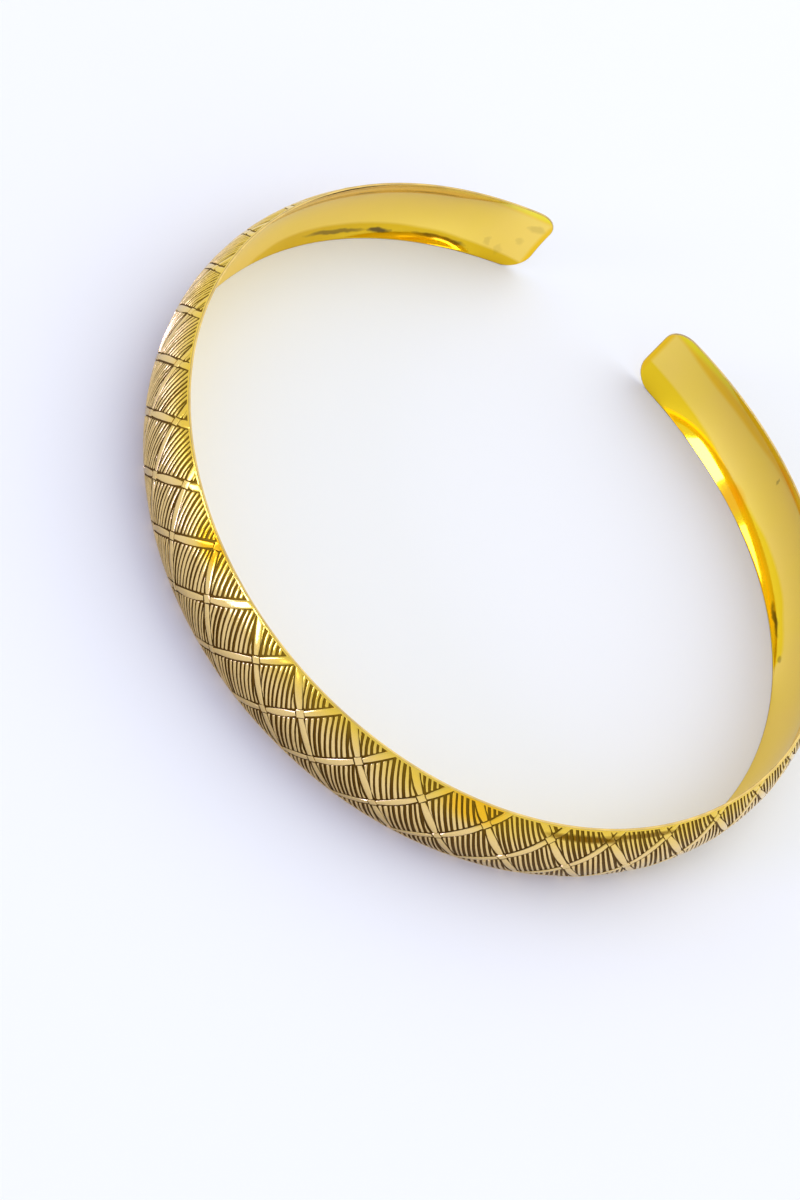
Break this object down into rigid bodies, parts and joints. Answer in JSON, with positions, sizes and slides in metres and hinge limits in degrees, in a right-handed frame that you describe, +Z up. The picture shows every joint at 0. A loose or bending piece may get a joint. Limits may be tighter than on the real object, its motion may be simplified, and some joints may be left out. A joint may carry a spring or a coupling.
{
  "type": "torc choker",
  "caption": "Rigid open neck ring of domed cast brass, with a raised diamond lattice outside and a smooth hollowed inside.",
  "frame": {"origin": "middle of the part's box, on the surface that the lower rim rests on", "axes": "+Z up through the ring, the middle of the band towards -Y, the gap between the two ends towards +Y"},
  "size_m": [0.1268, 0.1318, 0.0162],
  "materials": {
    "brass": "polished inside, satin with dark patina in the recesses outside"
  },
  "bodies": {
    "root": {"torc_band": "brass"}
  },
  "joints": []
}
